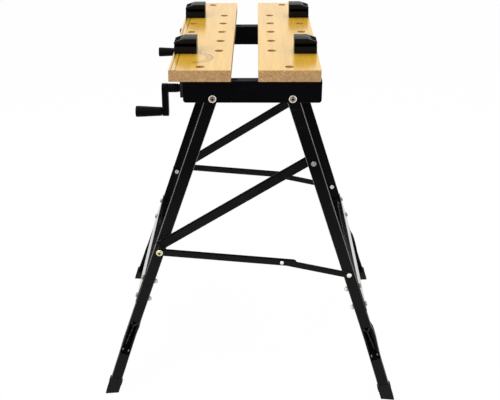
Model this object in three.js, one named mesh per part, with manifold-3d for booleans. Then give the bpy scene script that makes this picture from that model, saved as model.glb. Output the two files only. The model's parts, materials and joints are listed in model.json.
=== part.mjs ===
// Folding workbench with two clamping jaws, crank handles and scissor-folding steel legs.
// Millimetres, +Z up. The cranks are on the -X side and the near end is at -Y.
import * as THREE from 'three';
import { ConvexGeometry } from 'three/addons/geometries/ConvexGeometry.js';
import { mergeVertices } from 'three/addons/utils/BufferGeometryUtils.js';
import Module from 'manifold-3d';

const wasm = await Module();
wasm.setup();

// Clearance left between two pieces that touch.
const gap = 0.3;

// Bamboo-faced jaw boards.
const jawLength = 605;
const jawWidth = 120.4;
const jawThick = 23;
const jawGap = 52.6;
const tableHeight = 782.5;
const holeRadius = 9;
const holePitch = 80;
const innerRow = 28;
const outerRow = 95.7;
const endRow = 60.2;
const endInset = 24;

// Pressed steel rails under the jaw ends.
const sheet = 1.5;
const railFace = 241;
const railBack = 218;
const railLeft = -125;
const railRight = 154;
const railTop = 742;
const railBottom = 697;
const railCorner = 6;

// Leg channels and their pivots.
const pivotHeight = 705;
const frontPivotX = -65.5;
const rearPivotX = 96.2;
const frontLean = THREE.MathUtils.degToRad(19);
const rearLean = THREE.MathUtils.degToRad(18.2);
const frontFace = 216;
const rearFace = 238.9;
const legWidth = 25;
const legDepth = 18;
const bendAt = 600;
const frontBend = THREE.MathUtils.degToRad(22);
const rearBend = THREE.MathUtils.degToRad(17);
const crimpUp = 38;
const crimpDown = 56;
const crimpHalf = 9.5;
const crimpDeep = 9;
const footLength = 34;
const footSole = 16;
const footWall = 1.5;

// Panels that tie each pair of legs together.
const panelTop = 450;
const panelBottom = 527;
const panelBolts = [464, 513];
const panelHem = 9;

// Folding linkage: distances from the leg pivots along the legs.
const frontBoltAt = 370.5;
const braceAt = 149;
const rearLinkAt = 425;
const kneeShare = 0.644;
const kneeRise = 12.7;
const braceWidth = 22;
const braceLift = 4;
const braceFace = 219;
const braceThick = 2.4;
const linkThick = 2.5;
const frontLinkFace = 245.5;
const rearLinkFace = 242.5;
const frontLinkHalf = 8.2;
const frontLinkLift = 1.5;
const rearLinkHalf = 7;
const frontLinkTail = 24;

// Clamping screws and cranks.
const screwY = 230.6;
const screwZ = 725;
const screwRadius = 5;
const screwEnd = -12;
const hubRight = -131;
const hubLeft = -155;
const armLeft = -168;
const armHalf = 9.5;
const throwLength = 50;
const gripRight = -175;
const gripLeft = -223;
const gripNeck = 8.6;
const gripMouth = 11.2;
const pinRadius = 4;

// Swivelling bench dogs.
const dogWide = 46;
const dogTall = 30.6;
const dogFront = 26;
const dogBack = 15;
const dogPeg = 8.4;

const root = new THREE.Group();
root.name = 'folding_workbench';

const paint = { color: 0x0c0d10, roughness: 0.38, metalness: 0.35 };
const linkPaint = { color: 0x131417, roughness: 0.42, metalness: 0.35 };
const wood = { color: 0xf0d49c, roughness: 0.55, metalness: 0 };
const zinc = { color: 0xbfc1c2, roughness: 0.3, metalness: 1 };
const steel = { color: 0x8b8d90, roughness: 0.35, metalness: 1 };
const plastic = { color: 0x151517, roughness: 0.5, metalness: 0 };
const rubber = { color: 0x0a0a0b, roughness: 0.8, metalness: 0 };

function solid(geometry) {
  geometry.deleteAttribute('normal');
  geometry.deleteAttribute('uv');
  const merged = mergeVertices(geometry, 0.0001);
  const vertProperties = new Float32Array(merged.attributes.position.array);
  const triVerts = new Uint32Array(merged.index.array);
  return new wasm.Manifold(new wasm.Mesh({ numProp: 3, vertProperties, triVerts }));
}

function block(x0, x1, y0, y1, z0, z1) {
  const geometry = new THREE.BoxGeometry(x1 - x0, y1 - y0, z1 - z0);
  geometry.translate((x0 + x1) / 2, (y0 + y1) / 2, (z0 + z1) / 2);
  return solid(geometry);
}

// Sheet drawn in X and Z, filling the depth from y0 to y1.
function plate(shape, y0, y1, curves = 8) {
  const options = { depth: y1 - y0, bevelEnabled: false, curveSegments: curves };
  const geometry = new THREE.ExtrudeGeometry(shape, options);
  geometry.rotateX(Math.PI / 2);
  geometry.translate(0, y1, 0);
  return solid(geometry);
}

// Slab drawn in X and Y, filling the height from z0 to z1.
function slab(shape, z0, z1, curves = 8) {
  const options = { depth: z1 - z0, bevelEnabled: false, curveSegments: curves };
  const geometry = new THREE.ExtrudeGeometry(shape, options);
  geometry.translate(0, 0, z0);
  return solid(geometry);
}

function rodAlongX(x0, x1, y, z, radius, sides = 16) {
  const geometry = new THREE.CylinderGeometry(radius, radius, x1 - x0, sides);
  geometry.rotateZ(-Math.PI / 2);
  geometry.translate((x0 + x1) / 2, y, z);
  return solid(geometry);
}

function rodAlongY(x, z, y0, y1, radius, sides = 16) {
  const geometry = new THREE.CylinderGeometry(radius, radius, y1 - y0, sides);
  geometry.translate(x, (y0 + y1) / 2, z);
  return solid(geometry);
}

// Turned piece along Y: each step is a radius and the two depths it fills.
function turnedAlongY(x, z, steps, sides = 12) {
  const points = [new THREE.Vector2(0, steps[0].from)];
  for (const step of steps) {
    points.push(new THREE.Vector2(step.radius, step.from));
    points.push(new THREE.Vector2(step.radius, step.to));
  }
  points.push(new THREE.Vector2(0, steps[steps.length - 1].to));
  const geometry = new THREE.LatheGeometry(points, sides);
  geometry.translate(x, 0, z);
  return solid(geometry);
}

// Round-ended flat bar between two points of the X and Z plane.
function barShape(x0, z0, x1, z1, half) {
  const along = Math.atan2(z1 - z0, x1 - x0);
  const shape = new THREE.Shape();
  shape.absarc(x0, z0, half, along + Math.PI / 2, along + Math.PI * 1.5, false);
  shape.absarc(x1, z1, half, along - Math.PI / 2, along + Math.PI / 2, false);
  shape.closePath();
  return shape;
}

function add(name, body, look) {
  const mesh = body.getMesh();
  const geometry = new THREE.BufferGeometry();
  geometry.setAttribute('position', new THREE.BufferAttribute(new Float32Array(mesh.vertProperties), 3));
  geometry.setIndex(new THREE.BufferAttribute(new Uint32Array(mesh.triVerts), 1));
  geometry.computeVertexNormals();
  const piece = new THREE.Mesh(geometry, new THREE.MeshStandardMaterial(look));
  piece.name = name;
  root.add(piece);
}

// The far piece is the mirror image of the near one.
function addPair(name, body, look) {
  add(`${name}_near`, body, look);
  add(`${name}_far`, body.mirror([0, 1, 0]), look);
}

// Jaw boards with their dog holes. The side is -1 for the front jaw and 1 for the rear jaw.
function jawBoard(side) {
  const inner = jawGap / 2;
  const outer = inner + jawWidth;
  const left = side < 0 ? -outer : inner;
  const half = jawLength / 2;
  const shape = new THREE.Shape();
  shape.moveTo(left, -half);
  shape.lineTo(left + jawWidth, -half);
  shape.lineTo(left + jawWidth, half);
  shape.lineTo(left, half);
  shape.closePath();
  const drill = (x, y) => {
    const hole = new THREE.Path();
    hole.absarc(side * x, y, holeRadius, 0, Math.PI * 2, true);
    shape.holes.push(hole);
  };
  for (let row = -2; row <= 2; row += 1) {
    drill(inner + innerRow, row * holePitch);
    drill(inner + outerRow, row * holePitch);
  }
  drill(inner + endRow, -half + endInset);
  drill(inner + endRow, half - endInset);
  return slab(shape, tableHeight - jawThick, tableHeight, 9);
}
add('front_jaw', jawBoard(-1), wood);
add('rear_jaw', jawBoard(1), wood);

// Rails: an upside-down channel with a slotted top.
function railSolid() {
  const shape = new THREE.Shape();
  shape.moveTo(railLeft, railTop);
  shape.lineTo(railLeft, railBottom + railCorner);
  shape.absarc(railLeft + railCorner, railBottom + railCorner, railCorner, Math.PI, Math.PI * 1.5, false);
  shape.absarc(railRight - railCorner, railBottom + railCorner, railCorner, Math.PI * 1.5, 0, false);
  shape.lineTo(railRight, railTop);
  shape.closePath();
  const wall = plate(shape, -railFace, -railFace + sheet, 5);
  const roof = block(railLeft, railRight, -railFace, -railBack, railTop - sheet, railTop);
  const back = plate(shape, -railBack - sheet, -railBack, 5);
  const slot = block(-111, -15, -screwY - 3.6, -screwY + 3.6, railTop - 6, railTop + 6);
  const frontHole = rodAlongY(frontPivotX, pivotHeight, -railFace - 5, -railFace + 5, 4.4);
  const sleeveHole = rodAlongY(frontPivotX, pivotHeight, -railBack - 5, -railBack + 5, 7.5);
  const rearHole = rodAlongY(rearPivotX, pivotHeight, -railFace - 5, -railFace + 5, 4.4);
  const folded = wall.add(roof).add(back).subtract(slot).subtract(sleeveHole);
  return folded.subtract(frontHole).subtract(rearHole);
}
addPair('rail', railSolid(), paint);

// Spacer blocks of the fixed rear jaw.
const blockLow = railTop + gap;
const blockHigh = tableHeight - jawThick - gap;
addPair('rear_block', block(42, 136, -railFace + 1, -railBack, blockLow, blockHigh), plastic);

// Screw bearing: a block inside the crank end of each rail, with a flange that closes the end.
const bearingDeep = railFace - railBack - 2 * sheet - 2 * gap;
const bearingBlock = block(railLeft - 2, railLeft + 12.5, 0, bearingDeep, 710, 740.2);
const bearingFlange = block(hubRight + 0.4, railLeft - gap, -railFace + 0.4, -railBack - 0.4, 707.5, 741.5);
const bearing = bearingBlock.translate([0, -railFace + sheet + gap, 0]).add(bearingFlange);
addPair('bearing', bearing.subtract(rodAlongX(-140, -100, -screwY, screwZ, screwRadius + 0.4)), plastic);

// Carriage of the moving jaw: pad on the rail, neck through the slot and nut on the screw.
const carriagePad = block(-132, -48, -railFace + 1, -railBack, blockLow, blockHigh);
const carriageNeck = block(-104, -70, -screwY - 3, -screwY + 3, 737, blockLow + 1);
const carriageNut = block(-104, -70, -238.5, -220.5, 718.2, 738.2);
const carriage = carriagePad.add(carriageNeck).add(carriageNut);
addPair('carriage', carriage.subtract(rodAlongX(-140, -40, -screwY, screwZ, screwRadius + 0.4)), plastic);

// Crank arms hang straight down, each with a hub, a grip pin and a clamping screw.
function crankSolid() {
  const shape = barShape(-screwY, screwZ, -screwY, screwZ - throwLength, armHalf);
  const options = { depth: hubLeft - armLeft, bevelEnabled: false, curveSegments: 9 };
  const geometry = new THREE.ExtrudeGeometry(shape, options);
  const yAxis = new THREE.Vector3(0, 1, 0);
  const zAxis = new THREE.Vector3(0, 0, 1);
  const xAxis = new THREE.Vector3(1, 0, 0);
  geometry.applyMatrix4(new THREE.Matrix4().makeBasis(yAxis, zAxis, xAxis));
  geometry.translate(armLeft, 0, 0);
  const hub = rodAlongX(hubLeft - 2, hubRight, -screwY, screwZ, 9, 18);
  const collar = rodAlongX(gripRight + gap, armLeft + 2, -screwY, screwZ - throwLength, 6.5);
  const pin = rodAlongX(gripLeft + 4, armLeft + 2, -screwY, screwZ - throwLength, pinRadius);
  return solid(geometry).add(hub).add(collar).add(pin);
}
addPair('crank', crankSolid(), paint);
addPair('screw', rodAlongX(hubRight + gap, screwEnd, -screwY, screwZ, screwRadius, 16), steel);

// Trumpet-shaped hand grip, turning on the crank pin.
function gripSolid() {
  const length = gripRight - gripLeft;
  const points = [
    new THREE.Vector2(0, 0),
    new THREE.Vector2(gripMouth - 2, 0),
    new THREE.Vector2(gripMouth, 2),
    new THREE.Vector2(gripMouth - 0.4, 9),
    new THREE.Vector2(gripNeck + 1, length * 0.5),
    new THREE.Vector2(gripNeck, length * 0.75),
    new THREE.Vector2(gripNeck, length - 1.5),
    new THREE.Vector2(gripNeck - 1.5, length),
    new THREE.Vector2(pinRadius + 0.4, length),
    new THREE.Vector2(pinRadius + 0.4, 3.5),
    new THREE.Vector2(0, 3.5),
  ];
  const geometry = new THREE.LatheGeometry(points, 16);
  geometry.rotateZ(-Math.PI / 2);
  geometry.translate(gripLeft, -screwY, screwZ - throwLength);
  return solid(geometry);
}
addPair('grip', gripSolid(), plastic);

// Legs are open channels, bent outwards towards the feet. Along, depth and across are their own axes.
function legFrame(pivotX, lean, face, bend) {
  const along = new THREE.Vector3(-Math.sin(lean), 0, -Math.cos(lean));
  const depth = new THREE.Vector3(0, 1, 0);
  const across = new THREE.Vector3().crossVectors(along, depth);
  const frame = new THREE.Matrix4().makeBasis(along, depth, across);
  frame.setPosition(pivotX, -face, pivotHeight);
  frame.bend = bend;
  return frame;
}
const frontFrame = legFrame(frontPivotX, frontLean, frontFace, frontBend);
const rearFrame = legFrame(rearPivotX, -rearLean, rearFace, rearBend);

// Strip of the leg between two depths, from start to stop along its bent centre line.
function strip(frame, start, stop, shallow, deep, half) {
  const edge = (depth) => {
    const knee = bendAt + depth * Math.tan(frame.bend / 2);
    const endAlong = bendAt + stop * Math.cos(frame.bend) + depth * Math.sin(frame.bend);
    const endDepth = depth * Math.cos(frame.bend) - stop * Math.sin(frame.bend);
    return [[start, depth], [knee, depth], [endAlong, endDepth]];
  };
  const near = edge(shallow);
  const far = edge(deep).reverse();
  const shape = new THREE.Shape();
  for (const [index, point] of [...near, ...far].entries()) {
    if (index === 0) {
      shape.moveTo(point[0], point[1]);
    } else {
      shape.lineTo(point[0], point[1]);
    }
  }
  shape.closePath();
  const geometry = new THREE.ExtrudeGeometry(shape, { depth: half * 2, bevelEnabled: false });
  geometry.translate(0, 0, -half);
  geometry.applyMatrix4(frame);
  return solid(geometry);
}

function disc(frame, along, shallow, deep, radius, sides = 16) {
  const geometry = new THREE.CylinderGeometry(radius, radius, deep - shallow, sides);
  geometry.translate(along, (shallow + deep) / 2, 0);
  geometry.applyMatrix4(frame);
  return solid(geometry);
}

// Pressed crimp: a boat-shaped groove down the web, where the leg bends.
function crimp(frame, grow) {
  const half = crimpHalf + grow;
  const fall = (along) => (along > bendAt ? -(along - bendAt) * Math.tan(frame.bend) : 0);
  const spot = (along, depth, across) => new THREE.Vector3(along, fall(along) + depth, across);
  const hull = (points) => {
    const geometry = new ConvexGeometry(points);
    geometry.applyMatrix4(frame);
    return solid(geometry);
  };
  const top = bendAt - crimpUp - grow;
  const low = bendAt + crimpDown + grow;
  const upper = [spot(top, 0, 0), spot(top + 16, crimpDeep * 0.6 + grow, 0)];
  upper.push(new THREE.Vector3(bendAt + 1, crimpDeep + grow, 0));
  const lower = [spot(low, 0, 0), spot(low - 16, crimpDeep * 0.6 + grow, 0)];
  lower.push(new THREE.Vector3(bendAt - 1, crimpDeep + grow, 0));
  for (const across of [-half, half]) {
    upper.push(spot(top, -1, across * 0.7), spot(top + 9, -1, across));
    upper.push(new THREE.Vector3(bendAt + 1, -1, across), new THREE.Vector3(bendAt + 1, -3, across));
    lower.push(spot(low, -1, across * 0.7), spot(low - 9, -1, across));
    lower.push(new THREE.Vector3(bendAt - 1, -1, across), new THREE.Vector3(bendAt - 1, -3, across));
  }
  return hull(upper).add(hull(lower));
}

function bentLength(frame, lean) {
  return (pivotHeight / Math.cos(lean) - bendAt) / Math.cos(frame.bend);
}

function legSolid(frame, lean, holes) {
  const half = legWidth / 2;
  const stop = bentLength(frame, lean) - footSole;
  const outside = strip(frame, 0, stop, 0, legDepth, half).add(disc(frame, 0, 0, legDepth, half));
  const hollow = strip(frame, 0, stop + footSole, sheet, legDepth + 9, half - sheet);
  const headHollow = disc(frame, 0, sheet, legDepth + 9, half - sheet);
  let leg = outside.subtract(crimp(frame, 0)).subtract(hollow.add(headHollow).subtract(crimp(frame, sheet)));
  for (const along of holes) {
    leg = leg.subtract(disc(frame, along, -3, 6, 4.4, 16));
  }
  for (const along of panelBolts) {
    leg = leg.subtract(crossRod(frame, along, legDepth / 2, -half - 5, half + 5, 3.4));
  }
  return leg;
}

// Round bar across a leg, at a given place along it and a given depth.
function crossRod(frame, along, depth, from, to, radius, sides = 10) {
  const geometry = new THREE.CylinderGeometry(radius, radius, Math.abs(to - from), sides);
  geometry.rotateX(Math.PI / 2);
  geometry.translate(along, depth, (from + to) / 2);
  geometry.applyMatrix4(frame);
  return solid(geometry);
}

function footSolid(frame, lean) {
  const stop = bentLength(frame, lean);
  const half = legWidth / 2 + gap + footWall;
  const cup = strip(frame, bendAt - 40, stop + 30, -gap - footWall, legDepth + gap + footWall, half);
  const pocket = strip(frame, bendAt - 40, stop - footSole + gap, -gap, legDepth + gap, legWidth / 2 + gap);
  const above = strip(frame, bendAt - 80, stop - footLength, -30, legDepth + 30, half + 9);
  const floor = block(-900, 900, -900, 900, -300, 0);
  return cup.subtract(pocket).subtract(above).subtract(floor);
}
addPair('front_leg', legSolid(frontFrame, frontLean, [0, frontBoltAt]), paint);
addPair('rear_leg', legSolid(rearFrame, rearLean, [0, braceAt, rearLinkAt]), paint);
addPair('front_foot', footSolid(frontFrame, frontLean), rubber);
addPair('rear_foot', footSolid(rearFrame, rearLean), rubber);

// Tie panels on the outer side of each leg pair, with hemmed long edges.
function panelSolid(frame, face, across) {
  const outer = legWidth / 2 + gap;
  const sheetBox = (along0, along1, inset, from, to) => {
    const long = 2 * (face - inset);
    const geometry = new THREE.BoxGeometry(along1 - along0, long, Math.abs(to - from));
    geometry.translate((along0 + along1) / 2, face, across * (from + to) / 2);
    geometry.applyMatrix4(frame);
    return solid(geometry);
  };
  const face0 = sheetBox(panelTop, panelBottom, 0, outer, outer + sheet);
  const hemInset = legDepth + 2;
  const topHem = sheetBox(panelTop, panelTop + sheet, hemInset, outer - panelHem, outer + 1);
  const lowHem = sheetBox(panelBottom - sheet, panelBottom, hemInset, outer - panelHem, outer + 1);
  let panel = face0.add(topHem).add(lowHem);
  for (const along of panelBolts) {
    const hole = crossRod(frame, along, legDepth / 2, across * (outer - 5), across * (outer + 5), 3.4);
    panel = panel.subtract(hole).subtract(hole.mirror([0, 1, 0]));
  }
  return panel;
}
add('front_panel', panelSolid(frontFrame, frontFace, -1), paint);
add('rear_panel', panelSolid(rearFrame, rearFace, 1), paint);

// Panel bolts go right through the channel: dome head outside the panel, nut on the inner side.
function panelBolt(frame, along, across) {
  const outer = legWidth / 2 + gap + sheet + gap;
  const inner = -legWidth / 2 - gap;
  const steps = [
    { radius: 3, from: inner - 7, to: inner - 5 },
    { radius: 5.4, from: inner - 5, to: inner },
    { radius: 3, from: inner, to: outer },
    { radius: 6, from: outer, to: outer + 2 },
    { radius: 4, from: outer + 3.2, to: outer + 3.6 },
  ];
  const points = [new THREE.Vector2(0, steps[0].from)];
  for (const step of steps) {
    points.push(new THREE.Vector2(step.radius, step.from));
    points.push(new THREE.Vector2(step.radius, step.to));
  }
  points.push(new THREE.Vector2(0, outer + 3.6));
  const geometry = new THREE.LatheGeometry(points, 8);
  geometry.rotateX(across * Math.PI / 2);
  geometry.translate(along, legDepth / 2, 0);
  geometry.applyMatrix4(frame);
  return solid(geometry);
}
for (const [index, along] of panelBolts.entries()) {
  const place = index === 0 ? 'upper' : 'lower';
  addPair(`front_panel_bolt_${place}`, panelBolt(frontFrame, along, -1), zinc);
  addPair(`rear_panel_bolt_${place}`, panelBolt(rearFrame, along, 1), zinc);
}

// Pivot bolts of the legs, fixed in the rails. The front one has a sleeve to reach its leg.
addPair('front_pivot_bolt', turnedAlongY(frontPivotX, pivotHeight, [
  { radius: 4.5, from: -246.2, to: -245.8 },
  { radius: 7.8, from: -244, to: -railFace - gap },
  { radius: 4, from: -railFace - gap, to: -railFace + sheet + gap },
  { radius: 7, from: -railFace + sheet + gap, to: -frontFace - gap },
  { radius: 4, from: -frontFace - gap, to: -frontFace + sheet + gap },
  { radius: 7, from: -frontFace + sheet + gap, to: -frontFace + sheet + 6 },
]), zinc);
addPair('rear_pivot_bolt', turnedAlongY(rearPivotX, pivotHeight, [
  { radius: 4.5, from: -246.2, to: -245.8 },
  { radius: 7.8, from: -244, to: -railFace - gap },
  { radius: 4, from: -railFace - gap, to: -rearFace + sheet + gap },
  { radius: 7, from: -rearFace + sheet + gap, to: -rearFace + sheet + 6 },
]), zinc);

// Linkage points in X and Z.
const frontBolt = new THREE.Vector3(frontBoltAt, 0, 0).applyMatrix4(frontFrame);
const bracePin = new THREE.Vector3(braceAt, 0, 0).applyMatrix4(rearFrame);
const linkPin = new THREE.Vector3(rearLinkAt, 0, 0).applyMatrix4(rearFrame);
const knee = new THREE.Vector3().lerpVectors(frontBolt, linkPin, kneeShare);
knee.z += kneeRise;

// Long bolt through the front leg that carries the spreader link.
addPair('spreader_bolt', turnedAlongY(frontBolt.x, frontBolt.z, [
  { radius: 4.2, from: -250, to: -249.6 },
  { radius: 7.3, from: -248.4, to: -frontLinkFace - gap },
  { radius: 4, from: -frontLinkFace - gap, to: -frontLinkFace + linkThick + gap },
  { radius: 6.5, from: -frontLinkFace + linkThick + gap, to: -frontFace - gap },
  { radius: 4, from: -frontFace - gap, to: -frontFace + sheet + gap },
  { radius: 6.5, from: -frontFace + sheet + gap, to: -frontFace + sheet + 6 },
]), zinc);

// Rivet and spacer that hold the brace behind the rear leg.
addPair('brace_rivet', turnedAlongY(bracePin.x, bracePin.z, [
  { radius: 5.4, from: -rearFace - 1.6, to: -rearFace - gap },
  { radius: 4, from: -rearFace - gap, to: -rearFace + sheet + gap },
  { radius: 6, from: -rearFace + sheet + gap, to: -braceFace - gap },
  { radius: 4, from: -braceFace - gap, to: -braceFace + braceThick + gap },
  { radius: 6, from: -braceFace + braceThick + gap, to: -braceFace + braceThick + 2.4 },
]), zinc);

// Round-headed pin of the rear spreader link.
addPair('spreader_pin', turnedAlongY(linkPin.x, linkPin.z, [
  { radius: 3.2, from: -rearLinkFace - 3, to: -rearLinkFace - 2.6 },
  { radius: 5.3, from: -rearLinkFace - 1.6, to: -rearLinkFace - gap },
  { radius: 4, from: -rearLinkFace - gap, to: -rearFace + sheet + gap },
  { radius: 6, from: -rearFace + sheet + gap, to: -rearFace + sheet + 2.5 },
]), zinc);

// Flat brace between the planes of the two legs. Its front end hooks over the spreader bolt's spacer.
function braceSolid() {
  const front = -braceFace;
  const back = -braceFace + braceThick;
  const run = new THREE.Vector2(bracePin.x - frontBolt.x, bracePin.z - frontBolt.z).normalize();
  const liftX = -run.y * braceLift;
  const liftZ = run.x * braceLift;
  const startX = frontBolt.x + liftX;
  const startZ = frontBolt.z + liftZ;
  const outline = barShape(startX, startZ, bracePin.x + liftX, bracePin.z + liftZ, braceWidth / 2);
  const hook = new THREE.Shape();
  hook.absarc(frontBolt.x, frontBolt.z, 7.7, -Math.PI / 2, Math.PI / 2, false);
  hook.lineTo(frontBolt.x - 40, frontBolt.z + 12.7);
  hook.lineTo(frontBolt.x - 40, frontBolt.z - 40);
  hook.lineTo(frontBolt.x, frontBolt.z - 40);
  hook.closePath();
  const pinHole = rodAlongY(bracePin.x, bracePin.z, front - 5, back + 5, 4.4, 16);
  return plate(outline, front, back, 8).subtract(plate(hook, front - 5, back + 5, 8)).subtract(pinHole);
}
addPair('brace', braceSolid(), linkPaint);

// Two-piece spreader, jointed at its knee. The front link runs on past the knee as the stop.
const run = new THREE.Vector2(knee.x - frontBolt.x, knee.z - frontBolt.z).normalize();
function frontLinkSolid() {
  const liftX = -run.y * frontLinkLift;
  const liftZ = run.x * frontLinkLift;
  const tailX = knee.x + run.x * frontLinkTail + liftX;
  const tailZ = knee.z + run.y * frontLinkTail + liftZ;
  const bar = barShape(frontBolt.x + liftX, frontBolt.z + liftZ, tailX, tailZ, frontLinkHalf);
  const back = -frontLinkFace + linkThick;
  const eye = rodAlongY(frontBolt.x, frontBolt.z, -frontLinkFace, back, frontLinkHalf + 0.7, 24);
  const boltHole = rodAlongY(frontBolt.x, frontBolt.z, -frontLinkFace - 5, back + 5, 4.4, 16);
  const kneeHole = rodAlongY(knee.x, knee.z, -frontLinkFace - 5, back + 5, 3, 16);
  return plate(bar, -frontLinkFace, back, 6).add(eye).subtract(boltHole).subtract(kneeHole);
}
addPair('front_link', frontLinkSolid(), linkPaint);
addPair('knee_rivet', turnedAlongY(knee.x, knee.z, [
  { radius: 2.4, from: -frontLinkFace - 1.8, to: -frontLinkFace - 1.6 },
  { radius: 4.3, from: -frontLinkFace - 1, to: -frontLinkFace - gap },
  { radius: 2.6, from: -frontLinkFace - gap, to: -frontLinkFace + linkThick },
], 16), zinc);
const rearLinkShape = barShape(knee.x, knee.z, linkPin.x, linkPin.z, rearLinkHalf);
const rearLink = plate(rearLinkShape, -rearLinkFace, -rearLinkFace + linkThick, 6);
const rearLinkHole = rodAlongY(linkPin.x, linkPin.z, -rearLinkFace - 5, -rearLinkFace + 7, 4.4, 16);
addPair('rear_link', rearLink.subtract(rearLinkHole), linkPaint);

// Dog seen from the front: square to the jaw gap, its outer top corner sloped away. A cut deepens the slope.
function dogFace(cut) {
  const half = dogWide / 2;
  const shape = new THREE.Shape();
  shape.moveTo(-half + cut, 0);
  shape.lineTo(half - 1.2, 0);
  shape.lineTo(half, 9);
  shape.lineTo(half, dogTall - 1.5);
  shape.lineTo(half - 1.5, dogTall);
  shape.lineTo(-2 + cut * 0.6, dogTall);
  shape.quadraticCurveTo(-half * 0.6 + cut, dogTall - 2 - cut, -half + cut, dogTall / 2 - cut);
  shape.closePath();
  return shape;
}

// Solid front plate, then finger ridges parted by two grooves.
function dogSolid() {
  const deepCut = 6;
  let body = plate(dogFace(0), -dogFront, -dogFront + 13, 5);
  body = body.add(plate(dogFace(deepCut), -dogFront + 12, dogBack - 2, 5));
  body = body.add(plate(dogFace(0), -dogFront + 19, -dogFront + 25, 5));
  body = body.add(plate(dogFace(0), -dogFront + 31, dogBack, 5));
  const groove = new THREE.Shape();
  groove.moveTo(-dogFront - 1, 12);
  groove.lineTo(-dogFront, 12);
  groove.lineTo(-dogFront + 4, 16);
  groove.lineTo(-dogFront, 20);
  groove.lineTo(-dogFront - 1, 20);
  groove.closePath();
  const options = { depth: dogWide + 4, bevelEnabled: false };
  const vee = new THREE.ExtrudeGeometry(groove, options);
  const yAxis = new THREE.Vector3(0, 1, 0);
  const zAxis = new THREE.Vector3(0, 0, 1);
  const xAxis = new THREE.Vector3(1, 0, 0);
  vee.applyMatrix4(new THREE.Matrix4().makeBasis(yAxis, zAxis, xAxis));
  vee.translate(-dogWide / 2 - 2, 0, 0);
  const peg = new THREE.CylinderGeometry(dogPeg, dogPeg, 24, 18);
  peg.rotateX(Math.PI / 2);
  peg.translate(0, 0, -10);
  return body.subtract(solid(vee)).add(solid(peg));
}
const dog = dogSolid();
const rearDog = dog.mirror([1, 0, 0]);
const dogX = jawGap / 2 + outerRow;
const dogY = 2 * holePitch;
add('dog_front_near', dog.translate([-dogX, -dogY, tableHeight + gap]), plastic);
add('dog_front_far', dog.translate([-dogX, dogY, tableHeight + gap]), plastic);
add('dog_rear_near', rearDog.translate([dogX, -dogY, tableHeight + gap]), plastic);
add('dog_rear_far', rearDog.translate([dogX, dogY, tableHeight + gap]), plastic);

// Centre the bench over the origin, standing on the floor.
const bounds = new THREE.Box3().setFromObject(root);
const middle = bounds.getCenter(new THREE.Vector3());
for (const piece of root.children) {
  piece.geometry.translate(-middle.x, -middle.y, -bounds.min.z);
}

export default root;
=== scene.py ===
# %% [markdown]
# A folding workbench is a good first lesson in hard-surface looks. The solids of the bench are already
# packed as a fixed frame, so this script only dresses them: it rounds their edges, gives every surface a
# procedural finish and puts finer turned, moulded and pressed pieces in the place of the coarse ones.

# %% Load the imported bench
import json
import math

import bmesh
import bpy
from mathutils import Matrix, Vector


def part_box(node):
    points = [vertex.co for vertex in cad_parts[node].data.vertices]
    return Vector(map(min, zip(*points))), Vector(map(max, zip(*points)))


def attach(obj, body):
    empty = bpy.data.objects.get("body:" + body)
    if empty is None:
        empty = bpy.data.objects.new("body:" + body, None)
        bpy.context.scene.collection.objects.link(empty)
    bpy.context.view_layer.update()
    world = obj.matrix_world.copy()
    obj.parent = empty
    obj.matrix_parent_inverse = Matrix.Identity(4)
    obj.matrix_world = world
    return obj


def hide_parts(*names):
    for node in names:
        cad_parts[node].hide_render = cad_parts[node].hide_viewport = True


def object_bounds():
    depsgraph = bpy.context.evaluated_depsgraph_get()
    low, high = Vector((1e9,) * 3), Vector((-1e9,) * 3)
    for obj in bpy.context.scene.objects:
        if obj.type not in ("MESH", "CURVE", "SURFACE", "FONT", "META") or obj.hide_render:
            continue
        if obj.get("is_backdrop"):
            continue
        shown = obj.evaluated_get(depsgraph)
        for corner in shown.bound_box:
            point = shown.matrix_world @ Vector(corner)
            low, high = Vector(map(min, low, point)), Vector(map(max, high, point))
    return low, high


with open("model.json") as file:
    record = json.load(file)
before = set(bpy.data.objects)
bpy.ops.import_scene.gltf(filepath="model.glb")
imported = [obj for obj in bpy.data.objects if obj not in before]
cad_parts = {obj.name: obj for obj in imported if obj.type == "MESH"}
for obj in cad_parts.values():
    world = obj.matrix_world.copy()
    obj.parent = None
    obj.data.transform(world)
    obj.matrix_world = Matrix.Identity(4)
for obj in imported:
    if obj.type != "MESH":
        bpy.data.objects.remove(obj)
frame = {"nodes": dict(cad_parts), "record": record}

nodes = frame["nodes"]
scene = bpy.context.scene
sides = {"near": -1.0, "far": 1.0}
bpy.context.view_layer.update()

# %% [markdown]
# The camera comes first, because every later choice is judged through it. Its lens, place and turns come
# from a fit to the edges of the jaws, rails and feet in the photograph. The length of the jaws and the
# height of the table were assumed in that fit, so it gives the view and doesn't measure the bench. A small
# helper makes a placing matrix from a point and three directions, and later pieces use it too.

# %% Camera
lens_pixels = 865.2
image_width = 500
view_centre = 215.6
sensor_width = 36.0
camera_place = (0.01057, -1.9066, 1.25035)
pitch = math.radians(24.77)
yaw = math.radians(-2.83)
roll = math.radians(-0.84)


def laid(place, first, second, third):
    return Matrix.Translation(place) @ Matrix((first, second, third)).transposed().to_4x4()


camera_data = bpy.data.cameras.new("bench_camera")
camera_data.sensor_fit = "HORIZONTAL"
camera_data.sensor_width = sensor_width
camera_data.lens = lens_pixels * sensor_width / image_width
camera_data.shift_x = (image_width / 2 - view_centre) / image_width
camera_data.clip_end = 50.0
forward = Vector((math.sin(yaw) * math.cos(pitch), math.cos(yaw) * math.cos(pitch), -math.sin(pitch)))
level = Vector((math.cos(yaw), -math.sin(yaw), 0.0))
upright = level.cross(forward)
right = level * math.cos(roll) + upright * math.sin(roll)
up = upright * math.cos(roll) - level * math.sin(roll)
camera = bpy.data.objects.new("bench_camera", camera_data)
camera.matrix_world = laid(camera_place, right, up, -forward)
scene.collection.objects.link(camera)
scene.camera = camera
print("lens", round(camera_data.lens, 2), "mm")

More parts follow.
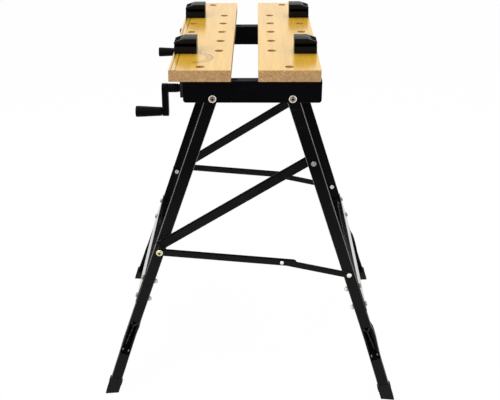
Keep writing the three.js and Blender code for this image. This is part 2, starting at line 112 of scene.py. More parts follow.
# %% [markdown]
# The finishes are node trees, and writing trees by hand is long. One helper adds a node, sets its
# options and joins its inputs, so that each finish below reads like a recipe.

# %% Node helper
def add_node(tree, kind, inputs=None, **settings):
    item = tree.nodes.new(kind)
    for key, value in settings.items():
        setattr(item, key, value)
    for key, value in (inputs or {}).items():
        socket = item.inputs[key]
        if isinstance(value, bpy.types.NodeSocket):
            tree.links.new(value, socket)
        else:
            socket.default_value = value
    return item


def mix_colour(tree, factor, first, second):
    item = add_node(tree, "ShaderNodeMix", {0: factor, 6: first, 7: second}, data_type="RGBA")
    return item.outputs[2]


def spread(tree, value, low, high, to_low=0.0, to_high=1.0):
    item = add_node(tree, "ShaderNodeMapRange", {0: value, 1: low, 2: high, 3: to_low, 4: to_high})
    return item.outputs[0]


def calc(tree, operation, first, second=0.0):
    return add_node(tree, "ShaderNodeMath", {0: first, 1: second}, operation=operation).outputs[0]


def shade(value):
    return tuple(((c / 255 + 0.055) / 1.055) ** 2.4 if c > 10 else c / 255 / 12.92 for c in value) + (1.0,)


print("helpers ready")

# %% [markdown]
# Paint, plastic, rubber and zinc all share two effects: a fine grain that catches the light, and soft
# cloudy patches with a few scuffs from handling. Each is built once as a node group and placed in every
# one of those finishes.

# %% Shared grain and handling groups
def new_group(name, inputs, outputs):
    group = bpy.data.node_groups.new(name, "ShaderNodeTree")
    for label, kind, value in inputs:
        socket = group.interface.new_socket(name=label, in_out="INPUT", socket_type=kind)
        if value is not None:
            socket.default_value = value
    for label, kind in outputs:
        group.interface.new_socket(name=label, in_out="OUTPUT", socket_type=kind)
    start = group.nodes.new("NodeGroupInput")
    end = group.nodes.new("NodeGroupOutput")
    return group, start, end


grain_group, grain_in, grain_out = new_group(
    "fine_grain",
    [("Vector", "NodeSocketVector", None), ("Scale", "NodeSocketFloat", 900.0)],
    [("Height", "NodeSocketFloat"), ("Mask", "NodeSocketFloat")],
)
peel = add_node(grain_group, "ShaderNodeTexNoise", {
    "Vector": grain_in.outputs[0], "Scale": grain_in.outputs[1], "Detail": 3.0, "Roughness": 0.55})
speck = add_node(grain_group, "ShaderNodeTexVoronoi", {
    "Vector": grain_in.outputs[0], "Scale": grain_in.outputs[1]})
speckled = calc(grain_group, "MULTIPLY", speck.outputs["Distance"], 0.35)
height = calc(grain_group, "ADD", peel.outputs["Fac"], speckled)
grain_group.links.new(height, grain_out.inputs[0])
grain_group.links.new(peel.outputs["Fac"], grain_out.inputs[1])

handling_group, handling_in, handling_out = new_group(
    "handling_marks",
    [("Vector", "NodeSocketVector", None), ("Scale", "NodeSocketFloat", 9.0)],
    [("Cloud", "NodeSocketFloat"), ("Scuff", "NodeSocketFloat")],
)
cloud = add_node(handling_group, "ShaderNodeTexNoise", {
    "Vector": handling_in.outputs[0], "Scale": handling_in.outputs[1], "Detail": 5.0, "Roughness": 0.6})
stretch = add_node(handling_group, "ShaderNodeMapping", {
    "Vector": handling_in.outputs[0], "Rotation": (0.4, 0.7, 0.3), "Scale": (14.0, 160.0, 60.0)})
scratch = add_node(handling_group, "ShaderNodeTexNoise", {
    "Vector": stretch.outputs[0], "Scale": 1.0, "Detail": 4.0, "Roughness": 0.65})
patches = spread(handling_group, cloud.outputs["Fac"], 0.32, 0.68)
scuffs = spread(handling_group, scratch.outputs["Fac"], 0.62, 0.74)
handling_group.links.new(patches, handling_out.inputs[0])
handling_group.links.new(scuffs, handling_out.inputs[1])
print("groups", grain_group.name, handling_group.name)

# %% [markdown]
# The frame is sheet steel under a black powder coat. Powder coat is never one flat black: it has a
# tiny orange-peel relief, a slightly warmer dusting on top and faint pale scuffs. The same recipe with
# other numbers gives the moulded plastic of the dogs and the dull rubber of the feet.

# %% Black finishes
dust_heights = (0.56, 0.3)
dust_colour = (25, 24, 24)
scuff_strength = 0.25
roll_shadow_blur = 0.0006
relief_depth = 0.0004


def new_material(name):
    material = bpy.data.materials.new(name)
    material.use_nodes = True
    tree = material.node_tree
    shader = tree.nodes["Principled BSDF"]
    coords = tree.nodes.new("ShaderNodeTexCoord")
    return material, tree, shader, coords.outputs["Object"]


def dark_finish(name, deep, dusty, scuffed, rough, grain_scale, relief, shine,
                coat=0.0, dusted=False, roll_shadow=None):
    material, tree, shader, place = new_material(name)
    grain = add_node(tree, "ShaderNodeGroup", node_tree=grain_group)
    tree.links.new(place, grain.inputs["Vector"])
    grain.inputs["Scale"].default_value = grain_scale
    marks = add_node(tree, "ShaderNodeGroup", node_tree=handling_group)
    tree.links.new(place, marks.inputs["Vector"])
    base = mix_colour(tree, marks.outputs["Cloud"], shade(deep), shade(dusty))
    if dusted:
        height = add_node(tree, "ShaderNodeSeparateXYZ", {0: place}).outputs["Z"]
        base = mix_colour(tree, spread(tree, height, *dust_heights), base, shade(dust_colour))
    scuff = calc(tree, "MULTIPLY", marks.outputs["Scuff"], scuff_strength)
    surface_colour = mix_colour(tree, scuff, base, shade(scuffed))
    # A band along a bar's upper edge is painted in the deep colour: painted shadow under the roll.
    if roll_shadow:
        upwards, edge = roll_shadow
        rise = add_node(tree, "ShaderNodeVectorMath", {0: place, 1: upwards}, operation="DOT_PRODUCT")
        shadow = spread(tree, rise.outputs["Value"], edge - roll_shadow_blur, edge)
        surface_colour = mix_colour(tree, shadow, surface_colour, shade(deep))
    tree.links.new(surface_colour, shader.inputs["Base Color"])
    spotty = calc(tree, "ADD", calc(tree, "MULTIPLY", marks.outputs["Cloud"], 0.1), grain.outputs["Mask"])
    tree.links.new(spread(tree, spotty, 0.3, 0.9, *rough), shader.inputs["Roughness"])
    bump = add_node(tree, "ShaderNodeBump", {
        "Height": grain.outputs["Height"], "Strength": relief, "Distance": relief_depth})
    tree.links.new(bump.outputs[0], shader.inputs["Normal"])
    shader.inputs["Specular IOR Level"].default_value = shine
    shader.inputs["Coat Weight"].default_value = coat
    shader.inputs["Coat Roughness"].default_value = 0.25
    return material


rail_paint = dark_finish(
    "rail_powder_coat", (2, 2, 4), (5, 5, 8), (20, 20, 23),
    rough=(0.34, 0.5), grain_scale=1400, relief=0.16, shine=0.03)
leg_paint = dark_finish(
    "leg_powder_coat", (3, 3, 5), (7, 7, 9), (30, 30, 31),
    rough=(0.36, 0.54), grain_scale=1400, relief=0.18, shine=0.035, dusted=True)
panel_paint = dark_finish(
    "panel_gloss_coat", (5, 5, 6), (10, 10, 11), (34, 34, 35),
    rough=(0.1, 0.2), grain_scale=1400, relief=0.05, shine=0.4, coat=0.2)
link_paint = dark_finish(
    "link_powder_coat", (19, 18, 18), (26, 25, 25), (46, 46, 46),
    rough=(0.36, 0.55), grain_scale=1300, relief=0.18, shine=0.04)
crank_paint = dark_finish(
    "crank_satin_black", (3, 3, 5), (6, 6, 8), (26, 26, 28),
    rough=(0.3, 0.42), grain_scale=1500, relief=0.12, shine=0.035)
dog_plastic = dark_finish(
    "dog_moulded_plastic", (7, 6, 5), (13, 11, 10), (40, 37, 36),
    rough=(0.26, 0.4), grain_scale=2200, relief=0.12, shine=0.08)
grip_plastic = dark_finish(
    "grip_moulded_plastic", (3, 3, 5), (7, 7, 9), (30, 30, 32),
    rough=(0.28, 0.42), grain_scale=2000, relief=0.12, shine=0.04)
block_plastic = dark_finish(
    "block_moulded_plastic", (8, 8, 9), (16, 16, 17), (40, 40, 42),
    rough=(0.45, 0.62), grain_scale=1800, relief=0.2, shine=0.2)
foot_rubber = dark_finish(
    "foot_rubber", (9, 9, 9), (17, 17, 16), (40, 39, 38),
    rough=(0.62, 0.82), grain_scale=1500, relief=0.3, shine=0.16)
# The pale shiny edge finish is partly rubbed paint and partly a painted highlight along the edges.
worn_and_highlit_edge = dark_finish(
    "rubbed_paint_edge_and_highlight", (52, 51, 50), (96, 94, 92), (150, 147, 143),
    rough=(0.26, 0.42), grain_scale=1400, relief=0.1, shine=0.6)
# The pale finish on the leg corners and the crimp knobs is a painted highlight.
leg_highlight = dark_finish(
    "leg_painted_highlight", (104, 102, 99), (164, 161, 157), (196, 193, 188),
    rough=(0.26, 0.42), grain_scale=1400, relief=0.1, shine=0.6)
print("black finishes made")

# %% [markdown]
# The braces and spreader links are flat bars whose upper edge is rolled over and falls into its own shadow,
# and that shadow is painted into their colour as a dark band. The height of a point above the line between
# a bar's two ends tells where that roll and its painted shadow begin.

# %% Bars with a rolled upper edge in painted shadow
def middle_of(node):
    low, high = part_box(node)
    return (low + high) / 2


def bar_line(first, last):
    start = middle_of(first) * Vector((1.0, 0.0, 1.0))
    run = middle_of(last) * Vector((1.0, 0.0, 1.0)) - start
    return start, run, Vector((-run.z, 0.0, run.x)).normalized()


def bar_with_roll_shadow(name, first, last, reach):
    start, run, upwards = bar_line(first, last)
    return dark_finish(
        name, (2, 2, 3), (25, 24, 24), (46, 46, 46),
        rough=(0.36, 0.55), grain_scale=1300, relief=0.18, shine=0.04,
        dusted=True, roll_shadow=(upwards, upwards.dot(start) + reach))


bar_paint_and_roll_shadow = {
    "brace": bar_with_roll_shadow("brace_coat_and_painted_shadow", "spreader_bolt_near", "brace_rivet_near", 0.0118),
    "front_link": bar_with_roll_shadow("front_link_coat_and_painted_shadow", "spreader_bolt_near", "knee_rivet_near", 0.0072),
    "rear_link": bar_with_roll_shadow("rear_link_coat_and_painted_shadow", "knee_rivet_near", "spreader_pin_near", 0.0048),
}
print("bar finishes", list(bar_paint_and_roll_shadow))

# %% [markdown]
# Zinc plating is a bright grey with fine streaks and small cloudy patches. A noise that is stretched hard
# along one direction reads as brushing, and it goes into the roughness and the bump and not into the
# colour. The streaks run along the pivot bolts, and on the clamping screws along the screw.

# %% Zinc and screw steel
brush_scale = 700.0
patch_scale = 120.0
brush_depth = 0.0003
along_bolts = (1.0, 0.08, 1.0)
along_screws = (0.1, 1.0, 1.0)


def metal_finish(name, bright, dull, rough, brush):
    material, tree, shader, place = new_material(name)
    grain = add_node(tree, "ShaderNodeGroup", node_tree=grain_group)
    brushed = add_node(tree, "ShaderNodeMapping", {"Vector": place, "Scale": brush})
    tree.links.new(brushed.outputs[0], grain.inputs["Vector"])
    grain.inputs["Scale"].default_value = brush_scale
    marks = add_node(tree, "ShaderNodeGroup", node_tree=handling_group)
    tree.links.new(place, marks.inputs["Vector"])
    marks.inputs["Scale"].default_value = patch_scale
    plating = mix_colour(tree, marks.outputs["Cloud"], shade(bright), shade(dull))
    tree.links.new(plating, shader.inputs["Base Color"])
    tree.links.new(spread(tree, grain.outputs["Mask"], 0.3, 0.7, *rough), shader.inputs["Roughness"])
    bump = add_node(tree, "ShaderNodeBump", {
        "Height": grain.outputs["Height"], "Strength": 0.1, "Distance": brush_depth})
    tree.links.new(bump.outputs[0], shader.inputs["Normal"])
    shader.inputs["Metallic"].default_value = 1.0
    return material


zinc = metal_finish("bright_zinc", (214, 214, 210), (176, 176, 172), (0.22, 0.4), along_bolts)
screw_steel = metal_finish("oiled_screw_steel", (150, 151, 154), (104, 105, 108), (0.25, 0.45), along_screws)
rivet_grey = metal_finish("dull_rivet", (150, 152, 156), (126, 128, 132), (0.36, 0.5), along_bolts)
# The pivot screw heads' yellowish zinc is painted darker than their washers: painted shade.
shaded_head_zinc = metal_finish("yellowish_zinc_painted_shade", (164, 158, 134), (128, 123, 102), (0.26, 0.42), along_bolts)
yellow_zinc = metal_finish("yellow_zinc", (226, 218, 150), (190, 184, 118), (0.24, 0.4), along_bolts)
white_zinc = metal_finish("white_zinc", (252, 248, 238), (234, 230, 220), (0.3, 0.45), along_bolts)
print("metal finishes made")

# %% [markdown]
# The jaws are a brown fibreboard core under a thin bamboo face. The face is drawn as narrow strips
# that run along the board, each with its own tone and hair-thin lines. The core shows on the edges
# as small dark and light fibres with slanting pale saw marks. The height of a point decides which of
# the two it shows.

# %% Bamboo-faced jaw board
strip_group, strip_in, strip_out = new_group(
    "bamboo_strips",
    [("Vector", "NodeSocketVector", None)],
    [("Tone", "NodeSocketFloat"), ("Line", "NodeSocketFloat")],
)
along = add_node(strip_group, "ShaderNodeMapping", {
    "Vector": strip_in.outputs[0], "Scale": (1.0, 0.02, 0.02)})
hair = add_node(strip_group, "ShaderNodeTexNoise", {
    "Vector": along.outputs[0], "Scale": 620.0, "Detail": 4.0})
wide = add_node(strip_group, "ShaderNodeMapping", {
    "Vector": strip_in.outputs[0], "Scale": (1.0, 0.05, 0.05)})
lath = add_node(strip_group, "ShaderNodeTexNoise", {
    "Vector": wide.outputs[0], "Scale": 120.0, "Detail": 2.0})
strip_group.links.new(spread(strip_group, lath.outputs["Fac"], 0.32, 0.68), strip_out.inputs[0])
strip_group.links.new(spread(strip_group, hair.outputs["Fac"], 0.54, 0.72), strip_out.inputs[1])

table_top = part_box("rear_jaw")[1].z
jaw_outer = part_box("front_jaw")[0].x
jaw_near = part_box("front_jaw")[0].y
face_light, face_deep, face_line = shade((216, 170, 56)), shade((204, 157, 42)), shade((172, 120, 38))
core_dark, core_light, core_sawn = shade((146, 107, 63)), shade((184, 147, 100)), shade((226, 198, 156))
mark_ink = shade((16, 11, 7))
streak_turn, streak_size = (0.0, 0.62, 0.0), (0.03, 0.03, 0.0026)
face_thick, face_blur = 0.0012, 0.0003


def board_finish(name, printed, sawn_strength):
    material, tree, shader, place = new_material(name)
    strips = add_node(tree, "ShaderNodeGroup", node_tree=strip_group)
    tree.links.new(place, strips.inputs["Vector"])
    parts = add_node(tree, "ShaderNodeSeparateXYZ", {0: place})
    face = mix_colour(tree, strips.outputs["Tone"], face_light, face_deep)
    face = mix_colour(tree, calc(tree, "MULTIPLY", strips.outputs["Line"], 0.3), face, face_line)
    if printed:
        face = mix_colour(tree, measuring_marks(tree, parts), face, mark_ink)
    fibre = add_node(tree, "ShaderNodeTexNoise", {
        "Vector": place, "Scale": 260.0, "Detail": 6.0, "Roughness": 0.75})
    core = mix_colour(tree, spread(tree, fibre.outputs["Fac"], 0.36, 0.64), core_dark, core_light)
    sawn = add_node(tree, "ShaderNodeMapping", {
        "Vector": place, "Rotation": streak_turn, "Scale": streak_size}, vector_type="TEXTURE")
    saw = add_node(tree, "ShaderNodeTexNoise", {"Vector": sawn.outputs[0], "Scale": 1.0, "Detail": 3.0})
    streaks = spread(tree, saw.outputs["Fac"], 0.59, 0.72, 0.0, sawn_strength)
    core = mix_colour(tree, streaks, core, core_sawn)
    face_low = table_top - face_thick
    veneer = spread(tree, parts.outputs["Z"], face_low, face_low + face_blur)
    tree.links.new(mix_colour(tree, veneer, core, face), shader.inputs["Base Color"])
    rough = spread(tree, veneer, 0.0, 1.0, 0.78, 0.24)
    lined = calc(tree, "MULTIPLY", strips.outputs["Line"], 0.12)
    tree.links.new(calc(tree, "ADD", rough, lined), shader.inputs["Roughness"])
    sunk = calc(tree, "MULTIPLY", strips.outputs["Line"], -0.4)
    relief = calc(tree, "ADD", sunk, calc(tree, "MULTIPLY", fibre.outputs["Fac"], 0.3))
    bump = add_node(tree, "ShaderNodeBump", {"Height": relief, "Strength": 0.22, "Distance": relief_depth})
    tree.links.new(bump.outputs[0], shader.inputs["Normal"])
    tree.links.new(calc(tree, "MULTIPLY", veneer, 0.5), shader.inputs["Coat Weight"])
    shader.inputs["Coat Roughness"].default_value = 0.16
    return material


print("table top at", round(table_top, 4))

# %% [markdown]
# The moving jaw carries plain printed measuring marks: two lines with ticks along its outer edge and a
# half-circle angle scale. Each line is a mask worked out from the distance to it, which stays sharp at
# any size and needs no picture.

# %% Measuring marks on the moving jaw
protractor_x, protractor_y = 0.0436, 0.0885
half_centimetre = 0.005


def near_value(tree, value, target, half):
    return add_node(tree, "ShaderNodeMath", {0: value, 1: target, 2: half}, operation="COMPARE").outputs[0]


def measuring_marks(tree, parts):
    x, y = parts.outputs["X"], parts.outputs["Y"]
    inset = calc(tree, "SUBTRACT", x, jaw_outer)
    outer_line = near_value(tree, inset, 0.0048, 0.0013)
    inner_line = near_value(tree, inset, 0.0132, 0.0007)
    along_edge = calc(tree, "SUBTRACT", y, jaw_near)
    centimetre = near_value(tree, calc(tree, "PINGPONG", along_edge, half_centimetre), 0.0, 0.0003)
    band = near_value(tree, inset, 0.0105, 0.0027)
    lines = calc(tree, "MAXIMUM", outer_line, inner_line)
    ruler = calc(tree, "MAXIMUM", lines, calc(tree, "MULTIPLY", centimetre, band))
    dx = calc(tree, "SUBTRACT", x, jaw_outer + protractor_x)
    dy = calc(tree, "SUBTRACT", y, jaw_near + protractor_y)
    squares = calc(tree, "ADD", calc(tree, "MULTIPLY", dx, dx), calc(tree, "MULTIPLY", dy, dy))
    radius = calc(tree, "SQRT", squares)
    outer_arc = near_value(tree, radius, 0.0385, 0.0009)
    inner_arc = near_value(tree, radius, 0.0275, 0.0008)
    arcs = calc(tree, "MAXIMUM", outer_arc, inner_arc)
    turn = calc(tree, "ARCTAN2", dy, dx)
    ticks = near_value(tree, calc(tree, "PINGPONG", turn, math.radians(5)), 0.0, math.radians(1.2))
    ticks = calc(tree, "MULTIPLY", ticks, near_value(tree, radius, 0.034, 0.0045))
    scale = calc(tree, "MULTIPLY", calc(tree, "MAXIMUM", arcs, ticks), calc(tree, "GREATER_THAN", dx, 0.0))
    return calc(tree, "MAXIMUM", calc(tree, "MULTIPLY", ruler, 0.85), calc(tree, "MULTIPLY", scale, 0.9))


printed_board = board_finish("bamboo_board_printed", printed=True, sawn_strength=0.3)
plain_board = board_finish("bamboo_board_plain", printed=False, sawn_strength=0.7)
print("boards", printed_board.name, plain_board.name)

# %% [markdown]
# Every solid gets its finish, and nearly all get a small round on their sharp edges. The solids are loose
# triangles, so a Weld joins them and a Bevel by angle then rounds only the true edges. Sheet steel takes
# a hair-thin round, the boards and moulded pieces a wider one.

# %% Dress the solids
finish_of_slot = {
    "jaw_wood": (plain_board, 0.0008),
    "rail_paint": (rail_paint, 0.0006),
    "leg_paint": (leg_paint, 0.0006),
    "link_paint": (link_paint, 0.0006),
    "crank_paint": (crank_paint, 0.0012),
    "zinc_fastener": (zinc, 0.0003),
    "screw_steel": (screw_steel, 0.0003),
    "grip_plastic": (grip_plastic, 0.0005),
    "dog_plastic": (dog_plastic, 0.0009),
    "block_plastic": (block_plastic, 0.0008),
    "foot_rubber": (foot_rubber, 0.0007),
}
worn_and_highlit_slots = ("rail_paint", "leg_paint", "link_paint")
slot_of_node = {part["node"]: part["material_slot"] for part in frame["record"]["subparts"]}
own_finish = {"front_jaw": printed_board, "front_panel": panel_paint, "rear_panel": panel_paint}
for bar, finish in bar_paint_and_roll_shadow.items():
    own_finish[f"{bar}_near"] = own_finish[f"{bar}_far"] = finish
for name, piece in nodes.items():
    finish, width = finish_of_slot[slot_of_node[name]]
    piece.data.materials.clear()
    piece.data.materials.append(own_finish.get(name, finish))
    weld = piece.modifiers.new("join_triangles", "WELD")
    weld.merge_threshold = 0.00001
    # Very short edges where a front link's eye meets its bar leave degenerate faces after a bevel.
    if name.startswith("front_link"):
        continue
    bevel = piece.modifiers.new("soft_edges", "BEVEL")
    bevel.width = width
    bevel.segments = 2
    bevel.limit_method = "ANGLE"
    bevel.angle_limit = math.radians(40)
    # Bevel faces take the pale edge finish: partly wear, partly painted highlight.
    if slot_of_node[name] in worn_and_highlit_slots and "panel" not in name:
        piece.data.materials.append(worn_and_highlit_edge)
        bevel.material = 1
print(len(nodes), "solids dressed")

# %% [markdown]
# Bolts, rivets, grips and screws are turned shapes. A half profile, given as radius and height in
# millimetres, is spun once about its axis, and the spin's seam and poles are merged. Every shell is made on
# its own and then gathered into one piece, which takes the place of the coarse solid.

# %% Turned shells
def turned(profile, steps=40):
    shape = bmesh.new()
    line = [shape.verts.new((radius / 1000, 0.0, height / 1000)) for radius, height in profile]
    edges = [shape.edges.new(pair) for pair in zip(line, line[1:])]
    bmesh.ops.spin(shape, geom=line + edges, cent=(0, 0, 0), axis=(0, 0, 1), angle=math.tau,
                   steps=steps, use_merge=True)
    bmesh.ops.remove_doubles(shape, verts=shape.verts[:], dist=0.0000001)
    bmesh.ops.recalc_face_normals(shape, faces=shape.faces[:])
    return shape


def soften(shape, edges, width, segments=3):
    bmesh.ops.bevel(shape, geom=edges, offset=width, offset_type="OFFSET", affect="EDGES",
                    segments=segments, profile=0.5, material=-1)


def new_points(grown):
    return [item for item in grown["geom"] if isinstance(item, bmesh.types.BMVert)]


def open_edges(shape):
    return [edge for edge in shape.edges if edge.is_boundary]


def coated(shell, number):
    for face in shell.faces:
        face.material_index = number
    return shell


def gather(name, shells, place, finishes, body, replaced=(), sharp=38.0):
    whole = bmesh.new()
    mesh = bpy.data.meshes.new(name)
    for shell in shells:
        shell.to_mesh(mesh)
        shell.free()
        whole.from_mesh(mesh)
        mesh.clear_geometry()
    bmesh.ops.transform(whole, matrix=place, verts=whole.verts[:])
    # A mirroring place turns the faces inside out, so they are turned back.
    if place.determinant() < 0:
        bmesh.ops.reverse_faces(whole, faces=whole.faces[:])
    whole.to_mesh(mesh)
    whole.free()
    mesh.shade_smooth()
    mesh.set_sharp_from_angle(angle=math.radians(sharp))
    for finish in finishes:
        mesh.materials.append(finish)
    piece = bpy.data.objects.new(name, mesh)
    scene.collection.objects.link(piece)
    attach(piece, body)
    if replaced:
        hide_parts(*replaced)


print("turning helpers ready")

# %% [markdown]
# The bolts have a domed head with a cross recess, as machine screws do. The dome is spun open at the
# top, its rim is extruded inwards to the outline of a cross, and the cross is extruded down and closed.
# Places along a bolt are millimetres from the middle plane of the bench, as the layers of the linkage are.

# %% Bolt heads, sleeves and nuts
head_coat, washer_coat, black_and_recess_shade_coat = 1, 2, 3
screw_finishes = [zinc, shaded_head_zinc, white_zinc, link_paint]
spreader_finishes = [zinc, yellow_zinc, white_zinc, link_paint]


def dome(low, radius, height, rim, foot=0.3):
    points = [(0.0, low), (radius - foot, low), (radius, low + foot)]
    for step in range(1, 7):
        angle = math.radians(15 * step)
        reach = rim + (radius - rim) * math.cos(angle)
        points.append((reach, low + foot + (height - foot) * math.sin(angle)))
    return points


def cross_head(low, radius, height, reach):
    shape = coated(turned(dome(low, radius, height, reach * 1.18), 48), head_coat)
    arm = reach * 0.34
    for sink, shrink in ((0.0, 1.0), (height * 0.62, 0.66)):
        for point in new_points(bmesh.ops.extrude_edge_only(shape, edges=open_edges(shape))):
            angle = math.atan2(point.co.y, point.co.x)
            off_arm = (angle + math.pi / 4) % (math.pi / 2) - math.pi / 4
            arm_side = arm / max(abs(math.sin(off_arm)), 0.001)
            span = min(reach / math.cos(off_arm), arm_side) * shrink / 1000
            point.co = (span * math.cos(angle), span * math.sin(angle), point.co.z - sink / 1000)
    bmesh.ops.holes_fill(shape, edges=open_edges(shape), sides=0)
    bmesh.ops.recalc_face_normals(shape, faces=shape.faces[:])
    # The walls and floor of the cross recess are painted dark: painted shade in the recess.
    for face in shape.faces:
        middle = face.calc_center_median()
        if middle.z < (low + height * 0.85) / 1000 and middle.xy.length < reach / 1000:
            face.material_index = black_and_recess_shade_coat
    return shape


def plain_head(low, radius, height):
    return turned(dome(low, radius, height, 0.0))


def sleeve(low, high, radius, edge=0.4):
    side = [(radius - edge, low), (radius, low + edge), (radius, high - edge), (radius - edge, high)]
    return turned([(0.0, low), *side, (0.0, high)])


def washer(low, high, radius):
    return coated(sleeve(low, high, radius, 0.25), washer_coat)


def hex_nut(low, high, radius):
    shape = bmesh.new()
    bmesh.ops.create_cone(shape, cap_ends=True, segments=6, radius1=radius / 1000, radius2=radius / 1000,
                          depth=(high - low) / 1000)
    bmesh.ops.translate(shape, vec=(0.0, 0.0, (low + high) / 2000), verts=shape.verts[:])
    soften(shape, shape.edges[:], 0.0005, 2)
    return shape


def fasten(kind, new_kind, side, shells, finishes, body):
    node = f"{kind}_{side}"
    middle = middle_of(node)
    turn_out = Matrix.Rotation(-sides[side] * math.pi / 2, 4, "X")
    place = Matrix.Translation((middle.x, 0.0, middle.z)) @ turn_out
    gather(f"{new_kind}_{side}", shells, place, finishes, body, [node])


for side in sides:
    shells = [washer(241.3, 242.5, 7.8), cross_head(242.5, 6.0, 3.5, 3.6), sleeve(238.0, 241.6, 3.9)]
    shells += [sleeve(216.3, 239.2, 7.0), sleeve(213.0, 216.6, 3.9), hex_nut(209.6, 214.2, 6.9)]
    fasten("front_pivot_bolt", "front_pivot_screw", side, shells, screw_finishes, "top_frame")
    shells = [washer(241.3, 242.5, 7.8), cross_head(242.5, 6.0, 3.5, 3.6), sleeve(236.0, 241.6, 3.9)]
    shells += [hex_nut(232.6, 237.1, 6.9)]
    fasten("rear_pivot_bolt", "rear_pivot_screw", side, shells, screw_finishes, "top_frame")
    shells = [washer(245.8, 246.8, 7.3), cross_head(246.8, 5.6, 3.1, 3.4), sleeve(242.0, 246.0, 3.9)]
    shells += [coated(sleeve(216.3, 242.7, 6.5), black_and_recess_shade_coat), sleeve(213.0, 216.6, 3.9)]
    shells += [hex_nut(209.6, 214.2, 6.4)]
    fasten("spreader_bolt", "spreader_screw", side, shells, spreader_finishes, "front_legs")
    shells = [plain_head(239.2, 5.6, 1.4), sleeve(236.8, 239.4, 3.9), sleeve(219.3, 237.1, 6.0)]
    shells += [sleeve(216.0, 219.6, 3.9), sleeve(214.2, 216.3, 5.8)]
    fasten("brace_rivet", "brace_spacer_rivet", side, shells, [rivet_grey], "rear_legs")
    shells = [plain_head(242.8, 5.4, 2.9), sleeve(236.8, 243.0, 3.9), sleeve(234.9, 237.1, 5.8)]
    fasten("spreader_pin", "spreader_round_rivet", side, shells, [white_zinc], "rear_legs")
    shells = [plain_head(245.8, 4.3, 1.9), sleeve(243.0, 246.0, 2.6, 0.2)]
    fasten("knee_rivet", "knee_round_rivet", side, shells, [white_zinc], f"front_link_{side}")
print("bolts and rivets turned")

# %% [markdown]
# The tie panels hang on bolts that go right through the leg channels, square to the leg. Their axes come
# from the lean of the legs, so each bolt is made upright and then turned to lie across its leg.

# %% Panel bolts
leg_lean = {"front": math.radians(19.0), "rear": math.radians(18.2)}
leg_way = {"front": -1.0, "rear": 1.0}
panel_bolt_out = {"front": 0.207, "rear": 0.2299}
panel_bolt_down = {"upper": 0.464, "lower": 0.513}


def leg_axes(end):
    lean, way = leg_lean[end], leg_way[end]
    middle = middle_of(f"{end}_pivot_bolt_near")
    pivot = Vector((middle.x, 0.0, middle.z))
    down_leg = Vector((way * math.sin(lean), 0.0, -math.cos(lean)))
    out_of_leg = Vector((way * math.cos(lean), 0.0, math.sin(lean)))
    return pivot, down_leg, out_of_leg


for end, out in panel_bolt_out.items():
    pivot, down_leg, out_of_leg = leg_axes(end)
    turn = Vector((0.0, 0.0, 1.0)).rotation_difference(out_of_leg).to_matrix().to_4x4()
    for side, sign in sides.items():
        for level, reach in panel_bolt_down.items():
            place = Matrix.Translation(pivot + down_leg * reach + Vector((0.0, sign * out, 0.0))) @ turn
            shells = [cross_head(14.6, 6.0, 3.5, 2.7), sleeve(-19.8, -12.0, 2.9, 0.5)]
            shells += [hex_nut(-17.8, -12.8, 5.5), coated(sleeve(-12.4, 15.0, 2.9, 0.3), black_and_recess_shade_coat)]
            node = f"{end}_panel_bolt_{level}_{side}"
            gather(f"{end}_panel_screw_{level}_{side}", shells, place, screw_finishes, f"{end}_legs",
                   [node])
print("panel bolts turned")

# %% [markdown]
# Each crank is a hub on the end of its clamping screw, a flat arm with round ends and a pin for the
# hand grip. The arm is a circle whose lower half is pulled down, extruded to its thickness and
# bevelled; the hub, pin and grip are turned. Their lines are drawn as if the front pivot lay at -65.5 mm,
# and are then shifted to where it is.

# %% Cranks and grips
drawn_pivot_x = -65.5
shift_x = middle_of("front_pivot_bolt_near").x * 1000 - drawn_pivot_x
along_x = Matrix.Rotation(math.pi / 2, 4, "Y")
screw_out, screw_up = 0.2306, 0.725
arm_back, arm_radius, arm_thick, arm_drop = -168.0, 0.0095, 0.013, -0.05


def crank_arm():
    shape = bmesh.new()
    bmesh.ops.create_circle(shape, cap_ends=True, segments=40, radius=arm_radius)
    lower = [point for point in shape.verts if point.co.y < -0.00001]
    bmesh.ops.translate(shape, vec=(0.0, arm_drop, 0.0), verts=lower)
    grown = bmesh.ops.extrude_face_region(shape, geom=shape.faces[:])
    bmesh.ops.translate(shape, vec=(0.0, 0.0, arm_thick), verts=new_points(grown))
    bmesh.ops.recalc_face_normals(shape, faces=shape.faces[:])
    rims = [edge for edge in shape.edges if edge.calc_face_angle(0.0) > math.radians(60)]
    soften(shape, rims, 0.0016)
    place = laid(((shift_x + arm_back) / 1000, 0.0, 0.0), (0, 1, 0), (0, 0, 1), (1, 0, 0))
    bmesh.ops.transform(shape, matrix=place, verts=shape.verts[:])
    return shape


def lying(profile, drop=0.0, steps=48):
    shape = turned([(radius, height + shift_x) for radius, height in profile], steps)
    place = Matrix.Translation((0.0, 0.0, drop)) @ along_x
    bmesh.ops.transform(shape, matrix=place, verts=shape.verts[:])
    return shape


